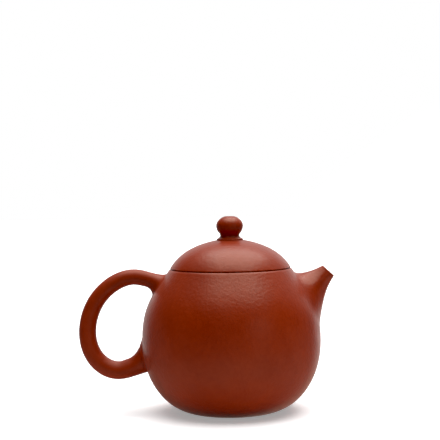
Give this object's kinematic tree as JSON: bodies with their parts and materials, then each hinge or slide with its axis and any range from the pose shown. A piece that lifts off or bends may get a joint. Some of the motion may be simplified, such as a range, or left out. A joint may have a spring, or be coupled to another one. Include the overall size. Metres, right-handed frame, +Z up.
{
  "type": "yixing clay teapot",
  "caption": "Small round-bellied red clay teapot with a lift-off domed lid and bead knob, a short flared spout with a ball strainer behind it, and a round loop handle.",
  "frame": {"origin": "on the pot's own axis, at the centre of the flat underside that it stands on", "axes": "+Z up along the axis that the body and the lid are turned on, +X towards the spout, -X towards the handle, and the XZ plane cuts the spout and the handle in half"},
  "size_m": [0.1149, 0.08, 0.0873],
  "materials": {
    "polished_clay": "unglazed fine red stoneware, burnished to a soft satin with a faint orange-peel grain",
    "trimmed_clay": "unglazed red stoneware, turned and trimmed, dull satin",
    "raw_clay": "unglazed red stoneware as it left the mould, matte"
  },
  "bodies": {
    "pot": {"base_plate": "polished_clay", "body_wall": "polished_clay", "mouth_ring": "polished_clay", "spout": "polished_clay", "strainer": "raw_clay", "handle": "polished_clay"},
    "lid_rim": {"lid_flange": "trimmed_clay"},
    "lid_top": {"lid_dome": "polished_clay", "knob_collar": "polished_clay", "knob": "polished_clay"}
  },
  "joints": [
    {"name": "lid_lift", "type": "slide", "parent": "pot", "child": "lid_rim", "axis": [0, 0, 1], "range_m": [0, 0.05]},
    {"name": "lid_turn", "type": "hinge", "parent": "lid_rim", "child": "lid_top", "pos_m": [0, 0, 0.06425], "axis": [0, 0, 1], "continuous": true}
  ]
}
